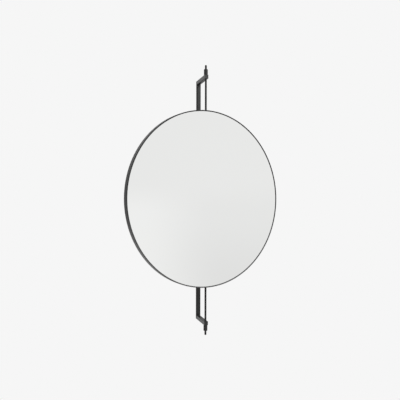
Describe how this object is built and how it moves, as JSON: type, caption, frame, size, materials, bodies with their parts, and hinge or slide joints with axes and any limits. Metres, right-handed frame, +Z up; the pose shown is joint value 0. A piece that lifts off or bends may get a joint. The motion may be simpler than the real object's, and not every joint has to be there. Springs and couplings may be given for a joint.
{
  "type": "pivot wall mirror",
  "caption": "Round mirror in a thin metal rim, turning on an upright rod held between the two arms of a C-shaped wall bracket.",
  "frame": {"origin": "on the wall plane, at the middle of the bracket's back face: x centred on the bar, z halfway between the two arms", "axes": "+Z up, along the bracket's bar and the pivot rod; +Y into the wall; -Y towards the room; +X to the right of someone facing the mirror"},
  "size_m": [0.6976, 0.2122, 1.098],
  "materials": {
    "dark_metal": "satin black powder coat",
    "silvered_glass": "polished, silvered behind",
    "bush_plastic": "moulded black nylon",
    "foam": "closed-cell foam sheet",
    "board": "fibre board, painted dark on the back",
    "plated_steel": "zinc plated"
  },
  "bodies": {
    "bracket": {"wall_bar": "dark_metal", "upper_arm": "dark_metal", "lower_arm": "dark_metal", "upper_arm_plug": "dark_metal", "lower_arm_plug": "dark_metal", "upper_bush": "bush_plastic", "lower_bush": "bush_plastic"},
    "mirror": {"rim": "dark_metal", "mirror_glass": "silvered_glass", "foam_sheet": "foam", "back_board": "board", "rim_clips": "plated_steel", "clip_screws": "plated_steel", "upper_plate": "dark_metal", "lower_plate": "dark_metal", "plate_screws": "plated_steel", "pivot_rod": "dark_metal", "upper_saddle": "dark_metal", "lower_saddle": "dark_metal", "saddle_screws": "plated_steel", "upper_collar": "dark_metal", "lower_collar": "dark_metal", "upper_grub_screw": "plated_steel", "lower_grub_screw": "plated_steel"}
  },
  "joints": [
    {"name": "mirror_turn", "type": "hinge", "parent": "bracket", "child": "mirror", "pos_m": [0, -0.104, 0], "axis": [0, 0, 1], "range_deg": [-30.4, 3.6]}
  ]
}
